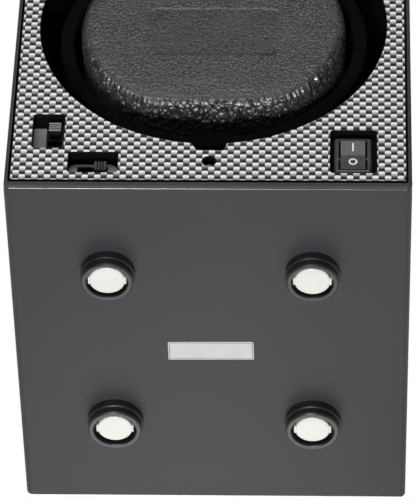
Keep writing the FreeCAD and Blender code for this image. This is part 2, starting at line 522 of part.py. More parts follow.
def slide_switch(cx, cz, along, slot_len, rest, body_len):
    """Frame, body, knob, terminals and ear screws; along is 'x' or 'z', rest the knob's offset from the slot's centre."""
    def rb(u0, u1, v0, v1, d0, d1):
        if along == "x":
            return block(cx + u0, cx + u1, d0, d1, cz + v0, cz + v1)
        return block(cx + v0, cx + v1, d0, d1, cz + u0, cz + u1)

    def at(u, v):
        return (cx + u, cz + v) if along == "x" else (cx + v, cz + u)

    def plate(u, v, r):
        w, h = (u, v) if along == "x" else (v, u)
        return rrect(cx, cz, w, h, r, FR_D0, FR_D0 + FR_T)

    frame = plate(FRAME_L, FRAME_W, 2.4).fuse(plate(EAR_L, EAR_H, 1.6)).removeSplitter()
    frame = frame.cut(rb(-slot_len / 2, slot_len / 2, -KNOB_H / 2 - 0.3, KNOB_H / 2 + 0.3, 0, 20))
    for s in (-1, 1):
        u, v = at(s * EAR, 0)
        frame = frame.cut(cyl_y(0.8 + CLR, 0, 20, u, v))
    body = rb(-body_len / 2, body_len / 2, -FRAME_W / 2, FRAME_W / 2, FR_D0 + FR_T, FR_D0 + 6.6)
    body = body.cut(rb(-body_len / 2 + 0.8, body_len / 2 - 0.8, -2.9, 2.9, 0, FR_D0 + FR_T + 2.1))
    knob = rb(rest - KNOB_L / 2, rest + KNOB_L / 2, -KNOB_H / 2, KNOB_H / 2, KNOB_FACE, FR_D0 + FR_T + 0.5)
    knob = knob.fuse(rb(rest - 2.6, rest + 2.6, -2.6, 2.6, FR_D0 + FR_T + 0.35, FR_D0 + FR_T + 1.75)).removeSplitter()
    pitch = KNOB_L / 4.0
    for k in (-1, 0, 1):
        c = rest + k * pitch
        knob = knob.cut(rb(c - 0.24, c + 0.24, -KNOB_H, KNOB_H, KNOB_FACE - 1, KNOB_FACE + 0.55))
    pins = []
    for k in (-1.5, -0.5, 0.5, 1.5):
        pins.append(rb(k * 2.6 - 0.25, k * 2.6 + 0.25, -0.5, 0.5, FR_D0 + 6.6, FR_D0 + 10.4))
    return frame, body, knob, pins


t_frame, t_body, t_knob, t_pins = slide_switch(T_CX, T_CZ, "z", 2 * (T_REST + KNOB_L / 2) + 0.8, T_REST, 15.0)
d_frame, d_body, d_knob, d_pins = slide_switch(D_CX, D_CZ, "x", 2 * (D_REST + KNOB_L / 2) + 0.9, D_REST, 14.0)
out("turns_switch_frame", t_frame)
out("turns_switch_body", t_body)
out("turns_switch_knob", t_knob)
out("direction_switch_frame", d_frame)
out("direction_switch_body", d_body)
out("direction_switch_knob", d_knob)
out("switch_terminals", *(t_pins + d_pins))
ear_screws = []
for u, v in EARS:
    sc = cyl_y(1.25, FR_D0 + FR_T, FR_D0 + FR_T + 1.2, u, v)
    ear_screws.append(sc.fuse(cyl_y(0.8, FR_D0 - 1.6, FR_D0 + FR_T + 0.1, u, v)).removeSplitter())
out("switch_screws", *ear_screws)
LEG_X0 = WIN_TURNS[0] - WIN_TURNS[2] / 2
out("turns_legend_plate", rrect((LEG_X0 + LEGEND_X1) / 2, 24.8, LEGEND_X1 - LEG_X0 - 0.1, 11.9, 0.5, LEGEND_D - 0.3, LEGEND_D))

# ------------------------------------------------------------------ rocker switch
R_FACE = 2.4
PIV_D = 4.7
rb_flange = rrect(RX, RZ, 11.7, 15.4, 1.2, R_FACE, 4.0)
rb_flange = fillet_where(rb_flange, 0.9, lambda e: at_y(e, R_FACE))
rock = rb_flange.fuse(block(RX - 5.3, RX + 5.3, 3.9, 17.0, RZ - 7.1, RZ + 7.1))
rock = rock.cut(block(RX - 4.42, RX + 4.42, 0, 12.5, RZ - 6.5, RZ + 6.5))
rock = rock.cut(cyl_x(0.86, RX - 5.05, RX + 5.05, PIV_D, RZ)).removeSplitter()
out("rocker_switch_body", rock)
blades = [block(RX - 2.2, RX + 2.2, 17.0, 24.0, RZ + dz - 0.4, RZ + dz + 0.4) for dz in (-4.0, 4.0)]
out("rocker_terminals", *blades)

PAD_X, PAD_Z = 3.92, 5.9                                                      # half width and half length of the paddle
HOLLOW, TILT = 4.0, 5.0                                                       # slope of each half, tilt at rest (degrees)
V_D = 2.35                                                                    # depth of the valley between the two halves
paddle = block(RX - PAD_X, RX + PAD_X, V_D - 2.0, PIV_D + 1.2, RZ - PAD_Z, RZ + PAD_Z)
for s in (-1, 1):
    cutter = block(RX - 10, RX + 10, V_D - 10, V_D, RZ if s > 0 else RZ - 12, RZ + 12 if s > 0 else RZ)
    cutter.rotate(V(RX, Y(V_D), Z(RZ)), V(1, 0, 0), s * HOLLOW)
    paddle = paddle.cut(cutter)
paddle = paddle.removeSplitter()
front = [e for e in paddle.Edges if e.BoundBox.YMax < Y(V_D + 0.05) and not (e.BoundBox.ZLength < 1e-3 and abs(e.BoundBox.ZMin - Z(RZ)) < 0.01)]
paddle = paddle.makeFillet(0.3, front)
paddle = paddle.fuse(cyl_x(0.8, RX - 4.95, RX + 4.95, PIV_D, RZ)).removeSplitter()


def on_face(shape, s):
    """Tilts a shape built on the plane d = V_D onto the upper (s=1) or lower (s=-1) half of the paddle."""
    shape.rotate(V(RX, Y(V_D), Z(RZ)), V(1, 0, 0), s * HOLLOW)
    return shape


bar = on_face(block(RX - 0.22, RX + 0.22, V_D - 0.02, V_D + 0.35, RZ + 1.6, RZ + 4.65), 1)
ring = cyl_y(1.36, V_D - 0.02, V_D + 0.35, RX, RZ - 2.75).cut(cyl_y(0.84, V_D - 1, V_D + 1, RX, RZ - 2.75))
ring = on_face(ring, -1)
paddle = paddle.cut(bar).cut(ring)
for s in (paddle, bar, ring):                                                 # rest: the lower half is pressed in
    s.rotate(V(RX, Y(PIV_D), Z(RZ)), V(1, 0, 0), TILT)
out("rocker_paddle", paddle)
out("rocker_marks", bar, ring)

# ------------------------------------------------------------------ indicator lamp
led = cyl_y(1.5, 4.3, 7.4, LED_X, LED_ZB).fuse(Part.makeSphere(1.5, V(LED_X, Y(4.3), Z(LED_ZB))))
led = led.fuse(cyl_y(2.0, 6.4, 7.4, LED_X, LED_ZB)).removeSplitter()
led = led.cut(block(LED_X - 4, LED_X - 1.75, 6.3, 7.5, LED_ZB - 3, LED_ZB + 3))
out("indicator_lamp", led)
out("lamp_leads", cyl_y(0.25, 7.4, 16.0, LED_X - 1.0, LED_ZB), cyl_y(0.25, 7.4, 14.5, LED_X + 1.0, LED_ZB))
holder = cyl_y(3.0, CH_D0 + CH_T, 9.0, LED_X, LED_ZB).cut(cyl_y(2.05, 6.35, 12, LED_X, LED_ZB)).cut(cyl_y(1.55, 0, 12, LED_X, LED_ZB))
out("lamp_holder", holder)

# ------------------------------------------------------------------ circuit board and what is on it
pcb = block(PCB_X[0], PCB_X[1], PCB_D[0], PCB_D[1], PCB_ZB, PCB_ZB + PCB_T)
for px, pd in PCB_POSTS:
    pcb = pcb.cut(cyl_z(1.25 + CLR, Z(PCB_ZB - 1), Z(PCB_ZB + 5), px, Y(pd)))
out("control_board", pcb)
bsc = []
for px, pd in PCB_POSTS:
    s = cyl_z(2.4, Z(PCB_ZB + PCB_T), Z(PCB_ZB + PCB_T + 1.7), px, Y(pd))
    s = s.fuse(cyl_z(1.25, Z(PCB_ZB - 5.0), Z(PCB_ZB + PCB_T + 0.1), px, Y(pd))).removeSplitter()
    bsc.append(s)
out("board_screws", *bsc)
top = PCB_ZB + PCB_T
out("controller_chip", block(-9.0, 1.0, 98.0, 104.0, top, top + 1.8))
capa = Part.makeCylinder(4.0, 11.0, V(-24, Y(92), Z(top)), V(0, 0, 1))
capa = capa.makeFillet(0.6, [e for e in capa.Edges if abs(e.BoundBox.ZMax - Z(top + 11)) < 1e-3 and e.BoundBox.ZLength < 1e-3])
out("capacitor", capa)
socks = []
for sx in (-12.0, 4.0, 18.0):
    s = block(sx, sx + 10.0, 117.0, 122.6, top, top + 6.0)
    socks.append(s.cut(block(sx + 0.9, sx + 9.1, 118.0, 121.6, top + 1.5, top + 7.0)))
out("wire_sockets", *socks)

# ------------------------------------------------------------------ DC inlet in the rear cover
JB = D - 17.0                                                                 # front of the inlet's block
jack = cyl_y(4.0, D - 10.0, D - 0.4, JX, JZ).fuse(block(JX - 5.5, JX + 5.5, JB, D - 7.6, JZ - 5.5, JZ + 5.5)).removeSplitter()
jack = jack.fuse(cyl_y(5.6, D - 1.0, D, JX, JZ)).removeSplitter()
jack = fillet_where(jack, 0.35, lambda e: at_y(e, D))
jack = jack.cut(cyl_y(2.85, D - 10.0, D + 4, JX, JZ))
out("dc_inlet_body", jack)
pin = cyl_y(1.0, D - 10.0, D - 0.6, JX, JZ)
pin = fillet_where(pin, 0.4, lambda e: at_y(e, D - 0.6))
out("dc_inlet_pin", pin)
nut_pts = [(JX + 6.4 * math.cos(math.radians(60 * k)), JZ + 6.4 * math.sin(math.radians(60 * k))) for k in range(6)]
jnut = poly_y(nut_pts, D - 5.0, D - 2.4).cut(cyl_y(4.0 + CLR, 120, 150, JX, JZ))
out("dc_inlet_nut", jnut)

# ------------------------------------------------------------------ wires


def wire(points, r, bend):
    """Round wire along straight runs joined by tangent arcs; points are (x, d, zb)."""
    P = [V(x, Y(d), Z(z)) for x, d, z in points]
    edges, start = [], P[0]
    for i in range(1, len(P) - 1):
        u, w = (P[i - 1] - P[i]).normalize(), (P[i + 1] - P[i]).normalize()
        ang = u.getAngle(w)
        t = bend / math.tan(ang / 2.0)
        p1, p2 = P[i] + u * t, P[i] + w * t
        bis = (u + w).normalize()
        mid = P[i] + bis * (bend / math.sin(ang / 2.0) - bend)
        edges.append(Part.LineSegment(start, p1).toShape())
        edges.append(Part.Arc(p1, mid, p2).toShape())
        start = p2
    edges.append(Part.LineSegment(start, P[-1]).toShape())
    path = Part.Wire(edges)
    t0 = (P[1] - P[0]).normalize()
    prof = Part.Wire([Part.makeCircle(r, P[0], t0)])
    s = path.makePipeShell([prof], True, False)
    if abs(s.Volume - math.pi * r * r * path.Length) > 0.02 * abs(s.Volume):
        print("wire volume", s.Volume, math.pi * r * r * path.Length)
    return s


SOCK_D, SOCK_Z = 119.8, top + 1.6                                             # wires end in the sockets' floors
out("motor_leads",
    wire([(8.0, SOCK_D, SOCK_Z), (8.0, SOCK_D, 30.0), (MX - 6.15, 132.6, 34.0), (MX - 6.15, 132.6, MZ - 1.25)], 0.65, 3.0),
    wire([(11.0, SOCK_D, SOCK_Z), (11.0, SOCK_D, 30.0), (MX + 6.15, 132.6, 34.0), (MX + 6.15, 132.6, MZ - 1.25)], 0.65, 3.0))
out("supply_leads",
    wire([(22.0, SOCK_D, SOCK_Z), (22.0, SOCK_D, 23.0), (JX - 3.0, SOCK_D, 23.0), (JX - 3.0, JB - 0.05, 23.0)], 0.65, 2.0),
    wire([(25.0, SOCK_D, SOCK_Z), (25.0, SOCK_D, 19.0), (JX + 3.0, SOCK_D, 19.0), (JX + 3.0, JB - 0.05, 19.0)], 0.65, 2.0))
LOW = 8.2                                                                     # run under the drum tunnel


def front_lead(x, turn_d, *rest):
    return wire([(x, SOCK_D, SOCK_Z), (x, SOCK_D, 20.0), (x, 75.2, 20.0), (x, 75.2, LOW), (x, turn_d, LOW)] + list(rest), 0.7, 2.0)


out("switch_leads",
    front_lead(-10.2, 33.0, (T_CX, 33.0, LOW), (T_CX, 33.0, T_CZ - 1.3), (T_CX, 15.75, T_CZ - 1.3)),
    front_lead(-8.2, 28.0, (D_CX - 1.3, 28.0, LOW), (D_CX - 1.3, 28.0, D_CZ), (D_CX - 1.3, 15.75, D_CZ)),
    front_lead(-6.2, 22.0, (-6.2, 22.0, LED_ZB), (LED_X - 1.0, 22.0, LED_ZB), (LED_X - 1.0, 16.05, LED_ZB)),
    front_lead(-4.2, 33.0, (RX, 33.0, LOW), (RX, 33.0, RZ - 4.0), (RX, 24.05, RZ - 4.0)))

# ------------------------------------------------------------------ summary
box = Part.makeCompound(list(MADE.values())).BoundBox
print("nodes", len(MADE), "box", [round(v, 2) for v in (box.XMin, box.XMax, box.YMin, box.YMax, box.ZMin, box.ZMax)])
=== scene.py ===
import bpy
import json
import math
import numpy as np
from mathutils import Matrix, Vector


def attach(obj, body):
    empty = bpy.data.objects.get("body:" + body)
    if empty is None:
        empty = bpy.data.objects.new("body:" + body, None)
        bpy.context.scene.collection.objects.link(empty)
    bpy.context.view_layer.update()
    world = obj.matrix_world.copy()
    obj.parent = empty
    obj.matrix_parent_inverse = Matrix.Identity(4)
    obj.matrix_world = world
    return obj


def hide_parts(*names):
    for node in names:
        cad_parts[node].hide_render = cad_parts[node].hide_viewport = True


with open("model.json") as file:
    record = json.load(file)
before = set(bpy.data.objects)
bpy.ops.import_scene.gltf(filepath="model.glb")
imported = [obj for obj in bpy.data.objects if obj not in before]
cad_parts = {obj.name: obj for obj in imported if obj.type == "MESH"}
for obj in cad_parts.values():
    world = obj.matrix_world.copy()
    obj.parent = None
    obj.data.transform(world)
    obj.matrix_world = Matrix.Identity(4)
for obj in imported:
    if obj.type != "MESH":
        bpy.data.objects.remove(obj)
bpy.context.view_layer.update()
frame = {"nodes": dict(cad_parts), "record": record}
nodes = frame["nodes"]

# The frame is in metres: +Z up, the front towards -Y, the feet on z = 0.
# "d" is a distance behind the front face, "zb" a height above the underside of the case.
W, H, D, FOOT_H = 0.125, 0.139, 0.1426, 0.0055
FRONT = -D / 2
AX_Z = 0.0758 + FOOT_H


def yd(d_mm):
    return FRONT + d_mm / 1000.0


def zz(zb_mm):
    return FOOT_H + zb_mm / 1000.0


# ------------------------------------------------------------------ camera
right = Vector((0.99947158, 0.01949438, 0.0260101))
up = Vector((-0.00475347, -0.7039328, 0.71025067))
ahead = Vector((-0.03215525, 0.709999, 0.70346817))
place = Vector((0.039213, -0.845589 + FRONT, -0.858809))
cam_data = bpy.data.cameras.new("camera")
cam_data.sensor_width = 36.0
cam_data.lens = 285.683
cam_data.clip_start = 0.05
cam_data.clip_end = 50.0
cam = bpy.data.objects.new("camera", cam_data)
m = Matrix((right, up, -ahead)).transposed().to_4x4()
m.translation = place
cam.matrix_world = m
bpy.context.scene.collection.objects.link(cam)
bpy.context.scene.camera = cam
bpy.context.scene.view_settings.view_transform = "Standard"
bpy.context.scene.view_settings.look = "None"


# ------------------------------------------------------------------ materials
class Mat:
    """A procedural material on object coordinates, which are the frame's own metres."""

    def __init__(self, name):
        self.m = bpy.data.materials.new(name)
        self.m.use_nodes = True
        self.nt = self.m.node_tree
        self.nt.nodes.clear()
        self.out = self.add("ShaderNodeOutputMaterial")
        self.p = self.add("ShaderNodeBsdfPrincipled")
        self.nt.links.new(self.p.outputs["BSDF"], self.out.inputs["Surface"])
        self.co = self.add("ShaderNodeTexCoord").outputs["Object"]

    def add(self, kind, **attrs):
        n = self.nt.nodes.new(kind)
        for k, v in attrs.items():
            setattr(n, k, v)
        return n

    def put(self, sock, v):
        if isinstance(v, bpy.types.NodeSocket):
            self.nt.links.new(v, sock)
        elif isinstance(v, (tuple, list)) and len(v) == 3 and sock.type == "RGBA":
            sock.default_value = (*v, 1.0)
        else:
            sock.default_value = v

    def set(self, **kw):
        for k, v in kw.items():
            self.put(self.p.inputs[k.replace("_", " ")], v)
        return self

    def noise(self, size_mm, detail=2.0, rough=0.5, vec=None, distortion=0.0):
        n = self.add("ShaderNodeTexNoise")
        self.put(n.inputs["Vector"], vec or self.co)
        n.inputs["Scale"].default_value = 1000.0 / size_mm
        n.inputs["Detail"].default_value = detail
        n.inputs["Roughness"].default_value = rough
        n.inputs["Distortion"].default_value = distortion
        return n.outputs["Fac"]

    def cells(self, size_mm, feature="F1", vec=None, smooth=0.5):
        n = self.add("ShaderNodeTexVoronoi", feature=feature)
        self.put(n.inputs["Vector"], vec or self.co)
        n.inputs["Scale"].default_value = 1000.0 / size_mm
        if feature == "SMOOTH_F1":
            n.inputs["Smoothness"].default_value = smooth
        return n.outputs["Distance"]

    def stretch(self, sx, sy, sz):
        n = self.add("ShaderNodeMapping")
        self.put(n.inputs["Vector"], self.co)
        n.inputs["Scale"].default_value = (sx, sy, sz)
        return n.outputs["Vector"]

    def xyz(self):
        n = self.add("ShaderNodeSeparateXYZ")
        self.put(n.inputs[0], self.co)
        return n.outputs[0], n.outputs[1], n.outputs[2]

    def math(self, op, a, b=0.0, c=0.0, clamp=False):
        n = self.add("ShaderNodeMath", operation=op, use_clamp=clamp)
        self.put(n.inputs[0], a)
        self.put(n.inputs[1], b)
        self.put(n.inputs[2], c)
        return n.outputs[0]

    def rng(self, v, a, b, c, d, smooth=False):
        n = self.add("ShaderNodeMapRange", interpolation_type="SMOOTHSTEP" if smooth else "LINEAR")
        self.put(n.inputs["Value"], v)
        for key, x in zip(("From Min", "From Max", "To Min", "To Max"), (a, b, c, d)):
            self.put(n.inputs[key], x)
        return n.outputs["Result"]

    def ramp(self, fac, *stops):
        n = self.add("ShaderNodeValToRGB")
        r = n.color_ramp
        while len(r.elements) < len(stops):
            r.elements.new(0.5)
        for e, (pos, col) in zip(r.elements, stops):
            e.position = pos
            e.color = (*col, 1.0)
        self.put(n.inputs["Fac"], fac)
        return n.outputs["Color"]

    def mix(self, fac, a, b):
        n = self.add("ShaderNodeMix", data_type="RGBA")
        self.put(n.inputs[0], fac)
        self.put(n.inputs[6], a)
        self.put(n.inputs[7], b)
        return n.outputs[2]

    def bump(self, height, depth_mm, strength=1.0, after=None):
        n = self.add("ShaderNodeBump")
        self.put(n.inputs["Height"], height)
        n.inputs["Strength"].default_value = strength
        n.inputs["Distance"].default_value = depth_mm / 1000.0
        if after is not None:
            self.put(n.inputs["Normal"], after)
        return n.outputs["Normal"]


def grey(v, tint=(1.0, 1.0, 1.0)):
    return tuple(v * t for t in tint)


def moulded(name, lo, hi, tint, rough, grain_mm, grain_depth, spec=0.5, smear_mm=30.0, edges=0.0):
    """Moulded plastic: fine eroded grain, slow changes of tone and gloss, edges painted a little lighter, partly as
    wear and partly as a painted highlight.
    """
    q = Mat(name)
    fine = q.noise(grain_mm, 3.0, 0.6)
    slow = q.noise(smear_mm, 3.0, 0.55)
    tone = q.math("ADD", q.math("MULTIPLY", fine, 0.45), q.math("MULTIPLY", slow, 0.55))
    col = q.ramp(tone, (0.32, grey(lo, tint)), (0.68, grey(hi, tint)))
    if edges:
        x, y, z = q.xyz()
        a = q.math("SUBTRACT", W / 2, q.math("ABSOLUTE", x))
        b = q.math("SUBTRACT", D / 2, q.math("ABSOLUTE", y))
        c = q.math("SUBTRACT", H / 2, q.math("ABSOLUTE", q.math("SUBTRACT", z, FOOT_H + H / 2)))
        mid = q.math("MAXIMUM", q.math("MINIMUM", a, b), q.math("MINIMUM", q.math("MAXIMUM", a, b), c))
        near = q.rng(mid, 0.0002, 0.0011, 1.0, 0.0, True)
        wear_and_sheen = q.math("MULTIPLY", near, q.rng(q.noise(3.0, 4.0, 0.7), 0.42, 0.7, 0.15, 1.0), clamp=True)
        # edges lighter in colour: partly wear, partly a painted highlight along the edges
        col = q.mix(q.math("MULTIPLY", wear_and_sheen, edges), col, grey(hi * 2.6, tint))
    rgh = q.rng(q.math("ADD", q.math("MULTIPLY", slow, 0.6), q.math("MULTIPLY", fine, 0.4)), 0.3, 0.7, rough - 0.06, rough + 0.06)
    if edges:
        rgh = q.math("SUBTRACT", rgh, q.math("MULTIPLY", near, rough - 0.13))      # edges rubbed smoother by handling
    q.set(Base_Color=col, Roughness=rgh, Specular_IOR_Level=spec)
    grain = q.math("ADD", fine, q.noise(grain_mm * 3.1, 2.0))
    if edges:
        grain = q.math("MULTIPLY", grain, q.math("SUBTRACT", 1.0, q.math("MULTIPLY", near, 0.85)))
    q.set(Normal=q.bump(grain, grain_depth))
    return q.m


def metal(name, base, rough, brushed=(1, 1, 1), dark=0.75, metallic=1.0):
    """Plated or turned metal: streaks along one direction, small stains, uneven gloss."""
    q = Mat(name)
    streak = q.noise(0.5, 3.0, 0.6, q.stretch(*brushed))
    stain = q.noise(3.0, 4.0, 0.6)
    tone = q.math("ADD", q.math("MULTIPLY", streak, 0.5), q.math("MULTIPLY", stain, 0.5))
    q.set(Base_Color=q.ramp(tone, (0.3, tuple(v * dark for v in base)), (0.7, base)),
          Metallic=metallic, Roughness=q.rng(tone, 0.3, 0.7, rough + 0.08, rough - 0.08))
    q.set(Normal=q.bump(streak, 0.006))
    return q.m


def woven():
    """Plain weave of light strips under a clear film: light and dark cells alternate, each cell painted fading from top
    to bottom, a painted shading of the strands' curvature with a painted highlight near the top of the light cells.
    """
    q = Mat("woven_panel")
    cell_x, cell_z = 0.001935, 0.00183
    x, y, z = q.xyz()
    u = q.math("ADD", q.math("DIVIDE", q.math("SUBTRACT", x, 0.000004), cell_x), 200.0)
    v = q.math("ADD", q.math("DIVIDE", q.math("SUBTRACT", z, zz(-0.755)), cell_z), 200.0)
    cu, cv = q.math("FLOOR", u), q.math("FLOOR", v)
    a = q.math("ABSOLUTE", q.math("SUBTRACT", q.math("SUBTRACT", u, cu), 0.5))
    b = q.math("SUBTRACT", q.math("SUBTRACT", v, cv), 0.5)
    light = q.math("MODULO", q.math("ADD", cu, cv), 2.0)
    ab = q.math("ABSOLUTE", b)
    # the light strips bulge a little over the dark ones, less at their corners
    reach = q.math("SUBTRACT", 0.575, q.math("MULTIPLY", q.math("POWER", q.math("MULTIPLY", a, 2.0), 4.0), 0.17))
    over = q.math("GREATER_THAN", ab, reach)                                   # in a light cell, past the strip's end
    into = q.math("GREATER_THAN", reach, q.math("SUBTRACT", 1.0, ab))          # in a dark cell, under a neighbour's end
    swap = q.math("ADD", q.math("MULTIPLY", light, over), q.math("MULTIPLY", q.math("SUBTRACT", 1.0, light), into))
    is_light = q.math("ABSOLUTE", q.math("SUBTRACT", light, swap))
    t = q.math("SUBTRACT", b, q.math("MULTIPLY", swap, q.math("SIGN", b)))
    t = q.math("ADD", t, 0.5)
    wn = q.add("ShaderNodeTexWhiteNoise", noise_dimensions="2D")
    comb = q.add("ShaderNodeCombineXYZ")
    q.put(comb.inputs[0], cu)
    q.put(comb.inputs[1], cv)
    q.put(wn.inputs["Vector"], comb.outputs[0])
    vary = wn.outputs["Value"]
    shift = q.math("MULTIPLY", q.math("SUBTRACT", vary, 0.5), 0.10)
    # painted shade and highlight: light cells brightest just below their top and darker downwards, dark cells near
    # black at their bottom
    bright = q.ramp(q.math("ADD", t, shift), (0.0, grey(0.27)), (0.22, grey(0.42)), (0.45, grey(0.62)), (0.68, grey(0.90)), (0.86, grey(0.88)), (1.0, grey(0.66)))
    dark = q.ramp(q.math("ADD", t, shift), (0.0, grey(0.002)), (0.25, grey(0.003)), (0.5, grey(0.022)), (0.75, grey(0.09)), (1.0, grey(0.18)))
    col = q.mix(is_light, dark, bright)
    thread = q.noise(0.16, 2.0, 0.5, q.stretch(1.0, 1.0, 0.18))                # fine threads along each strip
    col = q.mix(q.math("MULTIPLY", q.rng(thread, 0.35, 0.7, 0.0, 1.0), 0.10), col, grey(0.02))
    cut = q.rng(y, yd(0.83), yd(0.90), 0.0, 1.0)                               # the cut edges of the sheet are black
    col = q.mix(cut, col, q.ramp(thread, (0.3, grey(0.003)), (0.7, grey(0.006))))
    q.set(Base_Color=col, Roughness=q.rng(thread, 0.3, 0.7, 0.28, 0.40), Specular_IOR_Level=0.18)
    dome = q.math("SUBTRACT", 1.0, q.math("ADD", q.math("POWER", q.math("MULTIPLY", a, 2.0), 3.0),
                                          q.math("POWER", q.math("ABSOLUTE", q.math("MULTIPLY", q.math("SUBTRACT", t, 0.5), 1.8)), 3.0)))
    h = q.math("ADD", q.math("MULTIPLY", q.math("MAXIMUM", dome, 0.0), q.math("ADD", 0.4, q.math("MULTIPLY", is_light, 0.6))), q.math("MULTIPLY", thread, 0.12))
    q.set(Normal=q.bump(h, 0.05, 0.5))
    return q.m


def leather():
    q = Mat("leather_black")
    bent = q.add("ShaderNodeVectorMath", operation="ADD")                      # the grain's cells are bent, not straight-sided
    wob = q.add("ShaderNodeTexNoise")
    q.put(wob.inputs["Vector"], q.co)
    wob.inputs["Scale"].default_value = 1000.0 / 0.9
    small = q.add("ShaderNodeVectorMath", operation="SCALE")
    q.put(small.inputs[0], wob.outputs["Color"])
    small.inputs["Scale"].default_value = 0.0005
    q.put(bent.inputs[0], q.co)
    q.put(bent.inputs[1], small.outputs[0])
    pebble = q.cells(1.1, "SMOOTH_F1", bent.outputs[0], 0.35)
    crease = q.cells(1.1, "DISTANCE_TO_EDGE", bent.outputs[0])
    fine = q.noise(1.15, 1.0, 0.5)
    slow = q.noise(14.0, 3.0, 0.5)
    # painted shade: the colour darkens down in the grain's creases
    tone = q.math("ADD", q.math("MULTIPLY", q.rng(crease, 0.0, 0.16, 0.0, 1.0), 0.6), q.math("MULTIPLY", slow, 0.4))
    col = q.ramp(tone, (0.15, (0.014, 0.014, 0.016)), (0.55, (0.041, 0.041, 0.044)), (0.9, (0.054, 0.054, 0.058)))
    shine = q.add("ShaderNodeAttribute", attribute_name="shine").outputs["Fac"]   # 1 on open leather, near 0 down in the creases
    # painted shade: the base colour is multiplied down where shine is low, in the mesh's creases and where the face
    # starts to turn
    painted_crease_shade = q.add("ShaderNodeMix", data_type="RGBA", blend_type="MULTIPLY")
    painted_crease_shade.inputs[0].default_value = 1.0
    q.put(painted_crease_shade.inputs[6], col)
    q.put(painted_crease_shade.inputs[7], q.rng(shine, 0.0, 0.8, 0.35, 1.0))
    x, y, z = q.xyz()                                                          # the pressed rectangle is smoother,
    wear_and_sheen = q.rng(y, FRONT + 0.0016, FRONT + 0.0030, 0.0, 0.12, True)
    q.set(Base_Color=painted_crease_shade.outputs[2], Specular_IOR_Level=q.math("MULTIPLY", shine, 0.8),
          Roughness=q.math("ADD", wear_and_sheen, q.rng(q.math("ADD", q.math("MULTIPLY", fine, 0.6), q.math("MULTIPLY", slow, 0.4)), 0.3, 0.7, 0.23, 0.33)))
    bx = q.math("MAXIMUM", q.math("SUBTRACT", q.math("ABSOLUTE", x), 0.0182), 0.0)
    bz = q.math("MAXIMUM", q.math("SUBTRACT", q.math("ABSOLUTE", q.math("SUBTRACT", z, AX_Z - 0.0032)), 0.0084), 0.0)
    off = q.math("SQRT", q.math("ADD", q.math("MULTIPLY", bx, bx), q.math("MULTIPLY", bz, bz)))
    rough = q.math("MULTIPLY", q.rng(off, 0.0016, 0.0030, 0.62, 1.0, True), q.rng(y, FRONT + 0.0013, FRONT + 0.0030, 1.0, 0.45, True))   # and so is the rolled edge
    n1 = q.bump(q.math("MULTIPLY", rough, q.math("SUBTRACT", q.rng(crease, 0.0, 0.22, 0.0, 1.0, True), q.math("MULTIPLY", pebble, 0.4))), 0.05, 1.0)
    q.set(Normal=q.bump(q.math("MULTIPLY", rough, q.math("SUBTRACT", fine, 0.5)), 0.22, 1.0, n1))
    return q.m


def felt(name, lo, hi, tint=(1.0, 1.0, 1.06), spec=0.08):
    """Short felt: matted fibres in two directions over a soft lumpy ground."""
    q = Mat(name)
    f1 = q.noise(0.25, 4.0, 0.7, q.stretch(1.0, 0.35, 0.6))
    f2 = q.noise(0.3, 4.0, 0.7, q.stretch(0.4, 1.0, 1.0), 0.6)
    lump = q.noise(4.0, 3.0, 0.6)
    tone = q.math("ADD", q.math("MULTIPLY", q.math("MAXIMUM", f1, f2), 0.7), q.math("MULTIPLY", lump, 0.3))
    q.set(Base_Color=q.ramp(tone, (0.35, grey(lo, tint)), (0.7, grey(hi, tint))), Roughness=q.rng(lump, 0.3, 0.7, 0.86, 0.97), Specular_IOR_Level=spec)
    q.set(Normal=q.bump(q.math("MAXIMUM", f1, f2), 0.06, 0.8))
    return q.m


def foam():
    q = Mat("foam_grey")
    pore = q.cells(0.55, "F1")
    lump = q.noise(6.0, 3.0)
    tone = q.math("ADD", q.math("MULTIPLY", pore, 0.7), q.math("MULTIPLY", lump, 0.3))
    q.set(Base_Color=q.ramp(tone, (0.25, grey(0.12)), (0.6, grey(0.30))), Roughness=q.rng(pore, 0.1, 0.7, 0.98, 0.85), Specular_IOR_Level=0.1)
    q.set(Normal=q.bump(pore, 0.12, 0.8))
    return q.m


def knob(name, face, base, top, line):
    """Black slide knob whose rib tops are painted lighter, a painted highlight where the ribs catch the light."""
    q = Mat(name)
    x, y, z = q.xyz()
    fine = q.noise(0.2, 3.0, 0.6)
    rib = q.rng(y, face + 0.00002, face + 0.00022, 1.0, 0.0, True)
    # painted highlight: the rib tops get a lighter colour
    wear_and_sheen = q.math("MULTIPLY", rib, q.rng(q.noise(0.9, 3.0, 0.6), 0.3, 0.65, 0.75, 1.0))
    dark = q.ramp(fine, (0.3, grey(base * 0.6)), (0.7, grey(base)))
    q.set(Base_Color=q.mix(wear_and_sheen, dark, q.ramp(fine, (0.3, grey(top * 0.8)), (0.7, grey(top)))),
          Roughness=q.rng(fine, 0.3, 0.7, 0.35, 0.5), Specular_IOR_Level=line)
    q.set(Normal=q.bump(fine, 0.01))
    return q.m


def plain_print(name, base, fleck, rough):
    """Printed film or painted mark: faint fibres and specks."""
    q = Mat(name)
    f = q.noise(0.3, 4.0, 0.65)
    s = q.noise(5.0, 3.0)
    tone = q.math("ADD", q.math("MULTIPLY", f, 0.6), q.math("MULTIPLY", s, 0.4))
    q.set(Base_Color=q.ramp(tone, (0.3, tuple(v * fleck for v in base)), (0.65, base)), Roughness=q.rng(tone, 0.3, 0.7, rough + 0.08, rough - 0.05))
    q.set(Normal=q.bump(f, 0.006))
    return q.m


